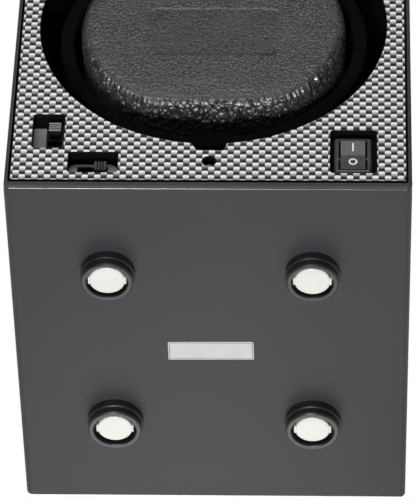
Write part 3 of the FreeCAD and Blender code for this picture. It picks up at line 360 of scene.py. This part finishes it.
def label():
    """White film with a thin printed border line and nothing on it."""
    q = Mat("label_white")
    x, y, z = q.xyz()
    cx, cy, hw, hh = -0.00025, yd(72.1), 0.0136, 0.00405
    ex = q.math("SUBTRACT", hw, q.math("ABSOLUTE", q.math("SUBTRACT", x, cx)))
    ey = q.math("SUBTRACT", hh, q.math("ABSOLUTE", q.math("SUBTRACT", y, cy)))
    e = q.math("MINIMUM", ex, ey)
    line = q.math("MULTIPLY", q.rng(e, 0.00028, 0.00036, 0.0, 1.0), q.rng(e, 0.00056, 0.00064, 1.0, 0.0))
    f = q.noise(0.35, 4.0, 0.65)
    film = q.ramp(q.math("ADD", q.math("MULTIPLY", f, 0.5), q.math("MULTIPLY", q.noise(6.0), 0.5)), (0.3, (0.50, 0.50, 0.51)), (0.7, (0.58, 0.58, 0.59)))
    q.set(Base_Color=q.mix(q.math("MULTIPLY", line, 0.8), film, grey(0.12)), Roughness=q.rng(f, 0.3, 0.7, 0.4, 0.55))
    q.set(Normal=q.bump(f, 0.004))
    return q.m


def lens():
    q = Mat("lamp_clear")
    f = q.noise(0.6, 3.0)
    q.set(Base_Color=q.ramp(f, (0.3, (0.62, 0.64, 0.64)), (0.7, (0.74, 0.76, 0.75))), Roughness=q.rng(f, 0.3, 0.7, 0.06, 0.16),
          Transmission_Weight=0.75, IOR=1.5)
    q.set(Normal=q.bump(f, 0.004))
    return q.m


def board():
    q = Mat("board_green")
    x, y, z = q.xyz()
    track = q.cells(2.4, "DISTANCE_TO_EDGE")
    f = q.noise(0.4, 3.0)
    mask = q.ramp(f, (0.3, (0.018, 0.10, 0.035)), (0.7, (0.03, 0.16, 0.06)))
    q.set(Base_Color=q.mix(q.rng(track, 0.03, 0.06, 1.0, 0.0), mask, (0.05, 0.22, 0.08)), Roughness=q.rng(f, 0.3, 0.7, 0.3, 0.45))
    q.set(Normal=q.bump(q.rng(track, 0.02, 0.07, 1.0, 0.0), 0.03))
    return q.m


COOL = (1.0, 1.02, 1.13)
mats = {
    "case_grey": moulded("case_grey", 0.032, 0.042, COOL, 0.48, 0.42, 0.022, 0.33, 40.0, 0.3),
    "foot_black": moulded("foot_black", 0.003, 0.006, (1, 1, 1.03), 0.30, 0.35, 0.010, 1.0, 8.0),
    "chassis_black": moulded("chassis_black", 0.0022, 0.004, (1, 1, 1.25), 0.8, 0.4, 0.02, 0.06),
    "inner_grey": moulded("inner_grey", 0.09, 0.13, (1, 1, 1.03), 0.5, 0.5, 0.02),
    "cup_black": moulded("cup_black", 0.006, 0.011, (1, 1, 1.1), 0.55, 0.4, 0.015, 0.2),
    "switch_black": moulded("switch_black", 0.004, 0.008, (1, 1, 1.05), 0.45, 0.3, 0.012, 0.3, 6.0),
    "rocker_black": moulded("rocker_black", 0.037, 0.057, (1, 1, 1.02), 0.30, 0.3, 0.010, 0.5, 7.0),
    "gear_white": moulded("gear_white", 0.70, 0.82, (1, 1, 0.95), 0.42, 0.5, 0.012),
    "off_white": moulded("off_white", 0.68, 0.75, (1, 0.995, 0.94), 0.42, 0.5, 0.010, 0.5, 6.0),
    "capacitor_blue": moulded("capacitor_blue", 0.05, 0.10, (0.4, 0.6, 1.6), 0.3, 0.6, 0.006),
    "wire_red": moulded("wire_red", 0.20, 0.30, (1.2, 0.08, 0.07), 0.45, 0.5, 0.01),
    "wire_grey": moulded("wire_grey", 0.14, 0.22, (1, 1, 1), 0.5, 0.5, 0.01),
    "felt_black": felt("felt_black", 0.0016, 0.0055, (1.0, 1.0, 1.25), 0.03),
    "foam_grey": foam(),
    "leather_black": leather(),
    "woven_panel": woven(),
    "label_white": label(),
    "legend_grey": plain_print("legend_grey", (0.165, 0.165, 0.17), 0.7, 0.5),
    "zinc_steel": metal("zinc_steel", (0.55, 0.55, 0.57), 0.32, (1, 0.1, 1)),
    "dark_screw": metal("dark_screw", (0.06, 0.06, 0.065), 0.4, (1, 0.2, 1), metallic=0.8),
    "brass": metal("brass", (0.70, 0.55, 0.28), 0.3, (1, 0.1, 1)),
    "dark_frame": metal("dark_frame", (0.006, 0.006, 0.0065), 0.6, (0.2, 1, 1), metallic=0.3),
    "switch_steel": metal("switch_steel", (0.24, 0.24, 0.245), 0.42, (0.12, 1, 1), metallic=0.85),
    "lamp_clear": lens(),
    "board_green": board(),
}
turns_knob = knob("knob_ribbed", yd(2.5), 0.012, 0.30, 0.4)
direction_knob = knob("knob_ribbed_dark", yd(2.5), 0.010, 0.05, 0.4)
mark_white = plain_print("mark_white", (0.78, 0.78, 0.77), 0.9, 0.45)

slot_of = {s["node"]: s["material_slot"] for s in frame["record"]["subparts"]}
special = {"turns_switch_knob": turns_knob, "direction_switch_knob": direction_knob, "rocker_marks": mark_white}
for name, ob in nodes.items():
    mat = special.get(name) or mats[slot_of[name]]
    ob.data.materials.clear()
    ob.data.materials.append(mat)


# ------------------------------------------------------------------ mesh helpers
def mesh_object(name, verts, faces, material, smooth=True):
    me = bpy.data.meshes.new(name)
    me.from_pydata([tuple(map(float, v)) for v in verts], [], faces)
    me.update()
    me.materials.append(material)
    if smooth:
        me.polygons.foreach_set("use_smooth", [True] * len(me.polygons))
    ob = bpy.data.objects.new(name, me)
    bpy.context.scene.collection.objects.link(ob)
    return ob


def applied(ob):
    """Replaces the object's mesh by its evaluated one and drops the modifiers."""
    dg = bpy.context.evaluated_depsgraph_get()
    dg.update()
    me = bpy.data.meshes.new_from_object(ob.evaluated_get(dg), depsgraph=dg)
    ob.modifiers.clear()
    old = ob.data
    ob.data = me
    bpy.data.meshes.remove(old)
    return ob


def coords(me):
    a = np.empty(len(me.vertices) * 3)
    me.vertices.foreach_get("co", a)
    return a.reshape(-1, 3)


def normals(me):
    a = np.empty(len(me.vertices) * 3)
    me.vertex_normals.foreach_get("vector", a)
    return a.reshape(-1, 3)


def set_coords(me, a):
    me.vertices.foreach_set("co", np.ascontiguousarray(a).ravel())
    me.update()


def hashed(ix, iy, iz, k):
    """Repeatable numbers from 0 to 1 for whole-number cells."""
    h = (ix.astype(np.int64) * 374761393 + iy.astype(np.int64) * 668265263 + iz.astype(np.int64) * 2147483647 + k * 1274126177) & 0xFFFFFFFF
    h = ((h ^ (h >> 13)) * 1103515245 + 12345) & 0xFFFFFFFF
    h = ((h ^ (h >> 16)) * 2246822519) & 0xFFFFFFFF
    h = h ^ (h >> 13)
    return (h & 0xFFFFFF) / float(0xFFFFFF)


def value_noise(p, size, k):
    q = p / size
    i = np.floor(q)
    f = q - i
    f = f * f * f * (f * (f * 6 - 15) + 10)
    s = np.zeros(len(p))
    for dx in (0, 1):
        for dy in (0, 1):
            for dz in (0, 1):
                w = (f[:, 0] if dx else 1 - f[:, 0]) * (f[:, 1] if dy else 1 - f[:, 1]) * (f[:, 2] if dz else 1 - f[:, 2])
                s += w * hashed(i[:, 0] + dx, i[:, 1] + dy, i[:, 2] + dz, k)
    return s * 2 - 1


def cell_noise(p, size, k):
    """Distances to the nearest and second nearest of scattered points, in cells."""
    q = p / size
    i = np.floor(q)
    f1 = np.full(len(p), 9.0)
    f2 = np.full(len(p), 9.0)
    for dx in (-1, 0, 1):
        for dy in (-1, 0, 1):
            for dz in (-1, 0, 1):
                c = [i[:, 0] + dx, i[:, 1] + dy, i[:, 2] + dz]
                pt = np.stack([c[j] + hashed(c[0], c[1], c[2], k + j) for j in range(3)], 1)
                dist = np.sqrt(((q - pt) ** 2).sum(1))
                f2 = np.where(dist < f1, f1, np.minimum(f2, dist))
                f1 = np.minimum(f1, dist)
    return f1, f2


def step(a, b, v):
    t = np.clip((v - a) / (b - a), 0, 1)
    return t * t * (3 - 2 * t)


# ------------------------------------------------------------------ leather cushion
A, B, SHARP = 0.0421, 0.0359, 24
CUSH_FRONT, CUSH_BACK = 0.0012, 0.0400
R_FRONT, R_BACK = 0.0026, 0.0035


def outline(phi):
    """Radius of the outline: a disc cut flat above and below."""
    return A * (1.0 + (np.abs(np.sin(phi)) * A / B) ** SHARP) ** (-1.0 / SHARP)


def cushion_shell(nu, nv, nd):
    """Closed quad shell: a lattice box whose ends are drawn to the outline and whose edges are rolled over."""
    index, verts, faces = {}, [], []

    def vert(i, j, k):
        key = (i, j, k)
        if key in index:
            return index[key]
        u, v, w = 2.0 * i / nu - 1, 2.0 * j / nv - 1, k / nd
        rho = max(abs(u), abs(v))
        phi = math.atan2(v * B, u * A)
        R = float(outline(np.array(phi)))

        def end(radius):
            s = (rho + 0.12 * math.sin(math.pi * rho)) * (R - radius + radius * math.pi / 2)   # finer towards the edge
            if s <= R - radius:
                return s, 0.0
            t = (s - (R - radius)) / radius
            return R - radius + radius * math.sin(t), radius * (1 - math.cos(t))

        if k == 0:
            r, dep = end(R_FRONT)
            d = CUSH_FRONT + dep
        elif k == nd:
            r, dep = end(R_BACK)
            d = CUSH_BACK - dep
        else:
            r, d = R, CUSH_FRONT + R_FRONT + w * (CUSH_BACK - R_BACK - CUSH_FRONT - R_FRONT)
        index[key] = len(verts)
        verts.append((r * math.cos(phi), FRONT + d, AX_Z + r * math.sin(phi)))
        return index[key]

    def quad(a, b, c, d):
        faces.append((vert(*a), vert(*b), vert(*c), vert(*d)))

    for i in range(nu):
        for j in range(nv):
            quad((i, j, 0), (i + 1, j, 0), (i + 1, j + 1, 0), (i, j + 1, 0))
            quad((i, j, nd), (i, j + 1, nd), (i + 1, j + 1, nd), (i + 1, j, nd))
    for k in range(nd):
        for i in range(nu):
            quad((i, 0, k), (i, 0, k + 1), (i + 1, 0, k + 1), (i + 1, 0, k))
            quad((i, nv, k), (i + 1, nv, k), (i + 1, nv, k + 1), (i, nv, k + 1))
        for j in range(nv):
            quad((0, j, k), (0, j + 1, k), (0, j + 1, k + 1), (0, j, k + 1))
            quad((nu, j, k), (nu, j, k + 1), (nu, j + 1, k + 1), (nu, j + 1, k))
    return verts, faces


def inflate(ob, pressure, cap, frames=20):
    """Stuffs the shell: cloth under inner pressure, no gravity, each point moved at most by cap."""
    before = coords(ob.data).copy()
    mod = ob.modifiers.new("stuffing", "CLOTH")
    s = mod.settings
    s.quality = 6
    s.mass = 0.02
    s.tension_stiffness = s.compression_stiffness = 12
    s.shear_stiffness = 6
    s.bending_stiffness = 0.6
    s.use_pressure = True
    s.uniform_pressure_force = pressure
    s.effector_weights.gravity = 0.0
    mod.collision_settings.use_collision = False
    mod.point_cache.frame_start = 1
    mod.point_cache.frame_end = frames
    scene = bpy.context.scene
    for f in range(1, frames + 1):
        scene.frame_set(f)
    applied(ob)
    scene.frame_set(1)
    after = coords(ob.data)
    move = after - before
    far = np.linalg.norm(move, axis=1)
    print("cushion moved by up to %.2f mm, mean %.2f" % (far.max() * 1000, far.mean() * 1000))
    k = np.where(far > cap, cap / np.maximum(far, 1e-9), 1.0)
    set_coords(ob.data, before + move * k[:, None])


cushion = mesh_object("cushion_leather", *cushion_shell(44, 36, 16), mats["leather_black"])
inflate(cushion, 4.0, 0.00012)
sub = cushion.modifiers.new("fine", "SUBSURF")
sub.levels = sub.render_levels = 3
applied(cushion)

P, Nn = coords(cushion.data), normals(cushion.data)
mm = P * 1000.0
depth = mm[:, 1] - FRONT * 1000.0
rx, rz = mm[:, 0], mm[:, 2] - AX_Z * 1000.0
phi = np.arctan2(rz, rx)
rim = np.hypot(rx, rz) / (outline(phi) * 1000.0)                                # 0 in the middle, 1 at the outline
facing = -Nn[:, 1]                                                             # 1 on the front face, 0 on the wall
low = step(0.25, -0.55, rz / 36.0)                                             # towards the lower edge
roll = step(0.985, 0.80, facing) * step(-0.25, 0.3, facing)                    # the rolled front edge
wall = step(0.35, 0.0, np.abs(facing))
corner = step(0.30, 0.55, np.abs(rx) / 42.0) * step(-0.2, -0.5, rz / 36.0)        # the two lower corners
along = np.stack([phi * 40.0, np.zeros_like(phi), (depth + (1.0 - rim) * 20.0) * 0.35], 1)
f1, f2 = cell_noise(mm + 0.8 * np.stack([value_noise(mm, 1.6, 3), value_noise(mm, 1.6, 4), value_noise(mm, 1.6, 6)], 1), 2.1, 11)
g1, g2 = cell_noise(mm + 40.0, 1.0, 23)
e1, e2 = cell_noise(along, 1.5, 37)
lumps = 0.40 - 0.60 * (f1 / 0.62) ** 2 - 0.55 * step(0.24, 0.0, f2 - f1)                                                 # rounded tops, creases between
pebble = 0.45 - (g1 / 0.62) ** 2
folds = 0.45 - (e1 / 0.62) ** 2                                          # short creases across the rolled edge
swell = value_noise(mm, 9.0, 31)
h = 0.05 * swell
h += (0.03 + 0.23 * roll * (0.35 + 0.65 * low) * (1.0 - 0.6 * corner) + (0.12 + 0.34 * step(14.0, 7.0, depth)) * wall) * lumps
h += (0.015 + 0.02 * roll + 0.02 * wall) * pebble
h += 0.50 * roll * (0.04 + 0.06 * low + 0.90 * corner) * folds
# a plain shallow rectangle pressed into the middle of the face
bx = np.maximum(np.abs(rx) - 18.2, 0.0)
bz = np.maximum(np.abs(rz + 3.2) - 8.4, 0.0)
edge = 2.5 - np.hypot(bx, bz)
face_only = step(0.9, 0.985, facing)
h -= 0.13 * step(-0.25, 0.45, edge) * face_only
P = P + Nn * (h / 1000.0)[:, None]
set_coords(cushion.data, P)
crease = step(0.30, 0.06, f2 - f1) * np.clip(roll * (0.4 + 0.6 * low) * (1.0 - 0.7 * corner) + (0.35 + 0.25 * step(14.0, 9.0, depth)) * wall, 0.0, 1.0)
crease = np.maximum(crease, step(0.32, 0.06, e2 - e1) * roll * corner)
turn = step(0.999, 0.985, facing) * step(0.88, 0.96, facing)                       # where the face starts to turn, gloss is lowered and the colour darkened through shine: painted shade
# shine also sets the leather's colour: low shine in the creases and at the turn is painted shade
shine = (1.0 + 1.0 * roll * low + 0.2 * wall + 1.5 * roll * corner) * (1.0 - 0.92 * crease) * (1.0 - 0.50 * turn * low)
cushion.data.attributes.new("shine", "FLOAT", "POINT").data.foreach_set("value", shine.astype(np.float32))
cushion.data.polygons.foreach_set("use_smooth", [True] * len(cushion.data.polygons))
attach(cushion, "cushion")
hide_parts("cushion_cover", "cushion_foam")

# ------------------------------------------------------------------ foam ring behind the cushion
ring_profile = [(4.6, 42.2), (5.2, 41.5), (7.5, 41.0), (12.0, 40.75), (18.0, 40.85), (22.4, 41.1), (24.2, 41.8), (24.9, 43.2), (25.0, 46.0), (24.8, 49.0),
                (24.2, 49.7), (22.0, 49.9), (8.0, 49.9), (5.0, 49.7), (4.5, 49.0), (4.4, 45.0)]
turns = 120
fv, ff = [], []
for i in range(turns):
    t = 2 * math.pi * i / turns
    for r, d in ring_profile:
        fv.append((r / 1000 * math.cos(t), yd(d), AX_Z + r / 1000 * math.sin(t)))
n = len(ring_profile)
for i in range(turns):
    for j in range(n):
        a, b = i * n + j, i * n + (j + 1) % n
        c, d = ((i + 1) % turns) * n + (j + 1) % n, ((i + 1) % turns) * n + j
        ff.append((a, d, c, b))
seat = mesh_object("seat_foam", fv, ff, mats["foam_grey"])
sub = seat.modifiers.new("fine", "SUBSURF")
sub.levels = sub.render_levels = 2
applied(seat)
P, Nn = coords(seat.data), normals(seat.data)
set_coords(seat.data, P - Nn * (0.12 + 0.12 * value_noise(P * 1000.0, 3.0, 7) + 0.05 * value_noise(P * 1000.0, 0.9, 9))[:, None] / 1000.0)
seat.data.polygons.foreach_set("use_smooth", [True] * len(seat.data.polygons))
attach(seat, "drum")
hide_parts("cushion_seat")

# ------------------------------------------------------------------ floor and light
fl = 4.0
floor = mesh_object("floor", [(-fl, -fl, 0), (fl, -fl, 0), (fl, fl, 0), (-fl, fl, 0)], [(0, 1, 2, 3)], mats["label_white"], False)
q = Mat("floor_pale")
tone = q.noise(220.0, 3.0)
q.set(Base_Color=q.ramp(tone, (0.3, grey(0.78)), (0.7, grey(0.82))), Roughness=q.rng(tone, 0.3, 0.7, 0.6, 0.75), Specular_IOR_Level=0.2)
clear = q.add("ShaderNodeBsdfTransparent")
both = q.add("ShaderNodeMixShader")
x, y, z = q.xyz()                                                              # fades into the white backdrop
far = q.rng(q.math("SQRT", q.math("ADD", q.math("MULTIPLY", x, x), q.math("MULTIPLY", y, y))), 0.25, 0.75, 0.0, 1.0, True)
q.put(both.inputs[0], q.math("MAXIMUM", far, q.add("ShaderNodeNewGeometry").outputs["Backfacing"]))
q.put(both.inputs[1], q.p.outputs["BSDF"])
q.put(both.inputs[2], clear.outputs[0])
q.put(q.out.inputs["Surface"], both.outputs[0])
floor.data.materials.clear()
floor.data.materials.append(q.m)
floor.visible_diffuse = floor.visible_glossy = floor.visible_transmission = floor.visible_shadow = False

world = bpy.data.worlds.new("studio")
world.use_nodes = True
wt = world.node_tree
bg = wt.nodes["Background"]
# white backdrop; the room itself is bright behind and below, dim in front and above
backdrop = wt.nodes.new("ShaderNodeBackground")
backdrop.inputs[0].default_value = (1.0, 1.0, 1.0, 1.0)
backdrop.inputs[1].default_value = 1.0
direction = wt.nodes.new("ShaderNodeTexCoord")
dot = wt.nodes.new("ShaderNodeVectorMath")
dot.operation = "DOT_PRODUCT"
dot.inputs[1].default_value = Vector((0.10, 0.72, -0.69)).normalized()
room = wt.nodes.new("ShaderNodeMapRange")
room.interpolation_type = "SMOOTHSTEP"
for key, val in (("From Min", -0.25), ("From Max", 0.75), ("To Min", 0.05), ("To Max", 0.54)):
    room.inputs[key].default_value = val
path = wt.nodes.new("ShaderNodeLightPath")
pick = wt.nodes.new("ShaderNodeMixShader")
wt.links.new(direction.outputs["Generated"], dot.inputs[0])
wt.links.new(dot.outputs["Value"], room.inputs["Value"])
wt.links.new(room.outputs["Result"], bg.inputs[1])
bg.inputs[0].default_value = (1.0, 1.0, 1.02, 1.0)
wt.links.new(path.outputs["Is Camera Ray"], pick.inputs[0])
wt.links.new(bg.outputs[0], pick.inputs[1])
wt.links.new(backdrop.outputs[0], pick.inputs[2])
wt.links.new(pick.outputs[0], wt.nodes["World Output"].inputs["Surface"])
bpy.context.scene.world = world


def soft_box(name, at, to, size, power):
    d = bpy.data.lights.new(name, "AREA")
    d.shape = "SQUARE"
    d.size = size
    d.energy = power
    o = bpy.data.objects.new(name, d)
    o.location = at
    o.visible_camera = False
    o.rotation_euler = (Vector(to) - Vector(at)).to_track_quat("-Z", "Y").to_euler()
    bpy.context.scene.collection.objects.link(o)
    return o


soft_box("key", (-0.25, -1.45, 0.26), (0, -0.05, 0.07), 1.6, 17.7)
soft_box("low", (-0.13, -0.54, -1.25), (0, -0.05, 0.0), 0.20, 13.8)
soft_box("under", (-0.012, 0.16, -0.11), (0, 0.04, 0.0), 0.14, 0.075)
soft_box("top", (0.25, 0.25, 1.5), (0, 0.0, 0.1), 0.9, 9.0)
soft_box("right", (1.4, 0.35, 0.5), (0, 0.0, 0.08), 0.8, 12.0)
soft_box("left", (-1.4, 0.35, 0.5), (0, 0.0, 0.08), 0.8, 12.0)
soft_box("back", (-0.3, 1.5, 0.8), (0, 0.0, 0.08), 0.8, 14.0)
